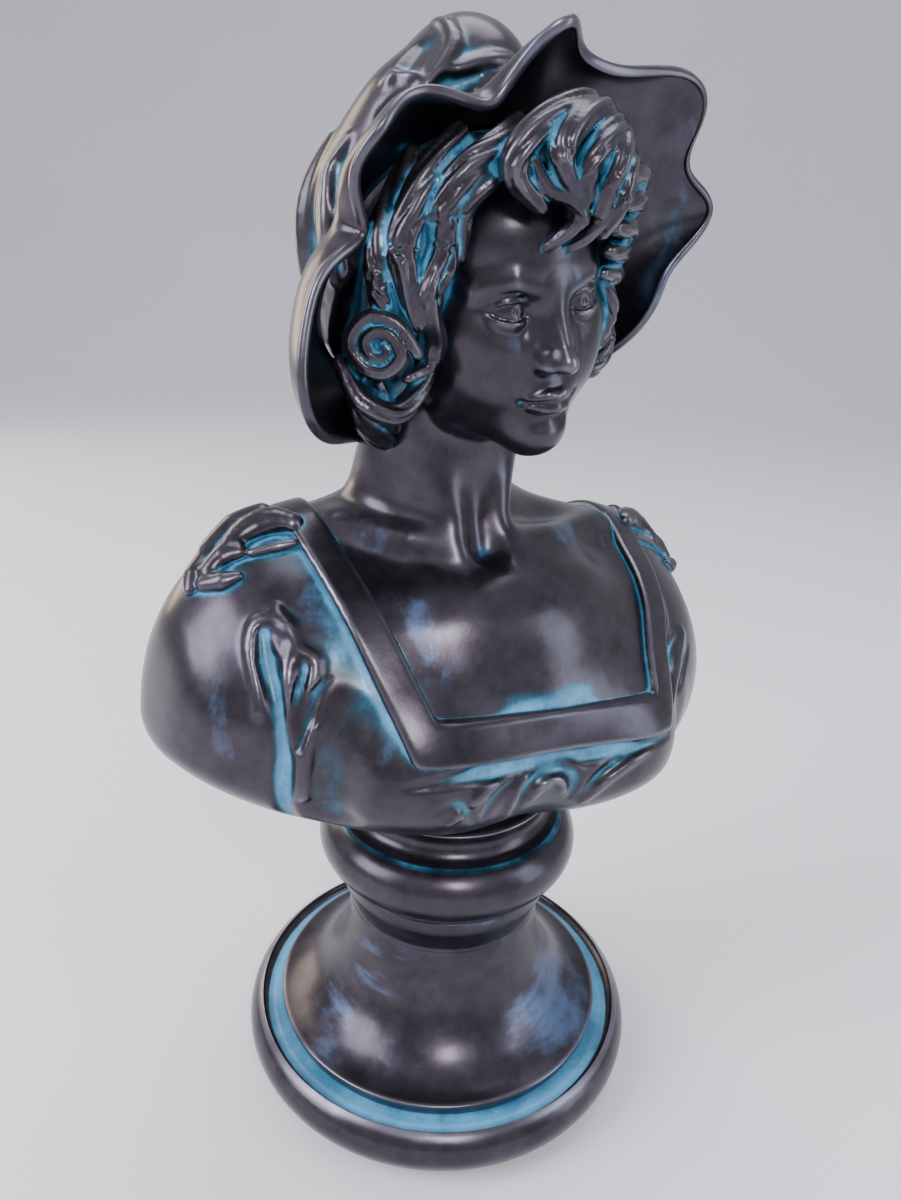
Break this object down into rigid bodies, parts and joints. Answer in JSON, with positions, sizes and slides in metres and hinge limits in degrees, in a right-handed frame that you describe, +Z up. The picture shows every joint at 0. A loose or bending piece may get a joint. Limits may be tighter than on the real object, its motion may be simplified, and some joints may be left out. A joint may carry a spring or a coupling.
{
  "type": "portrait bust on a turned socle",
  "caption": "Decorative bust of a lady in a ruffled bonnet and square-necked dress, dark patina with turquoise recesses, on a turned round socle.",
  "frame": {"origin": "middle of the felt's underside, on the socle's axis", "axes": "+Z up along the socle's axis; the bust faces -Y, and +X is her left"},
  "size_m": [0.2134, 0.156, 0.3724],
  "materials": {
    "patinated_casting": "cast marble dust in resin with a dark bronze patina, rubbed to a silvery sheen on the high parts and turquoise in the recesses",
    "patinated_socle": "the same cast with the same dark patina, brushed, with turquoise in the channels",
    "zinc_steel": "zinc plated",
    "brass_insert": "plain machined",
    "cork": "pressed cork",
    "felt": "dark green felt"
  },
  "bodies": {
    "root": {"felt_base": "felt", "socle_foot": "patinated_socle", "socle_trumpet": "patinated_socle", "socle_collar": "patinated_socle", "seat_gasket": "cork", "tie_rod": "zinc_steel", "clamp_nut": "zinc_steel", "spring_washer": "zinc_steel", "clamp_washer": "zinc_steel", "anchor_nut": "brass_insert", "bodice": "patinated_casting", "head_and_breast": "patinated_casting", "neckline_band": "patinated_casting", "right_shoulder_knot": "patinated_casting", "left_shoulder_knot": "patinated_casting", "hair_cap": "patinated_casting", "forelock_curls": "patinated_casting", "right_side_locks": "patinated_casting", "right_ringlet": "patinated_casting", "left_side_locks": "patinated_casting", "left_ringlet": "patinated_casting", "bonnet_brim": "patinated_casting", "bonnet_crown": "patinated_casting"}
  },
  "joints": []
}
